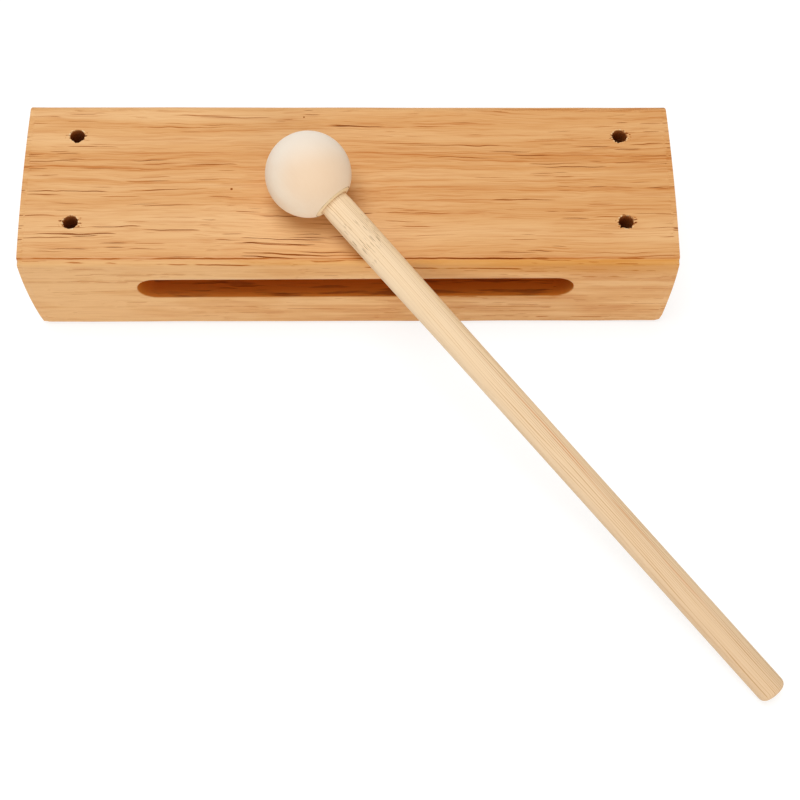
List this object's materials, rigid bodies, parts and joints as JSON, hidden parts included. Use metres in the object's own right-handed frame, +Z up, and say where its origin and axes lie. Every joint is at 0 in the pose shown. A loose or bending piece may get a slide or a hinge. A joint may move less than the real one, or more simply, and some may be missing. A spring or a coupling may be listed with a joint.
{
  "type": "woodblock",
  "caption": "Hardwood percussion block with a long round-ended sound slot in its front face, drilled mounting holes and a ball-headed wooden mallet resting across it.",
  "frame": {"origin": "middle of the block's underside, which rests on the table", "axes": "+X along the block's length, to the right seen from the slot's side; +Y from the slotted front face to the back; +Z up"},
  "size_m": [0.2248, 0.1798, 0.0658],
  "materials": {
    "block_wood": "clear satin lacquer over sanded hardwood",
    "head_wood": "fine sanded, pale, matte",
    "stick_wood": "fine sanded, pale, matte"
  },
  "bodies": {
    "block": {"block": "block_wood"},
    "mallet": {"mallet_stick": "stick_wood", "mallet_head": "head_wood"}
  },
  "joints": [
    {"name": "mallet_lift", "type": "slide", "parent": "block", "child": "mallet", "axis": [0, 0, 1], "range_m": [0, 0.12]}
  ]
}
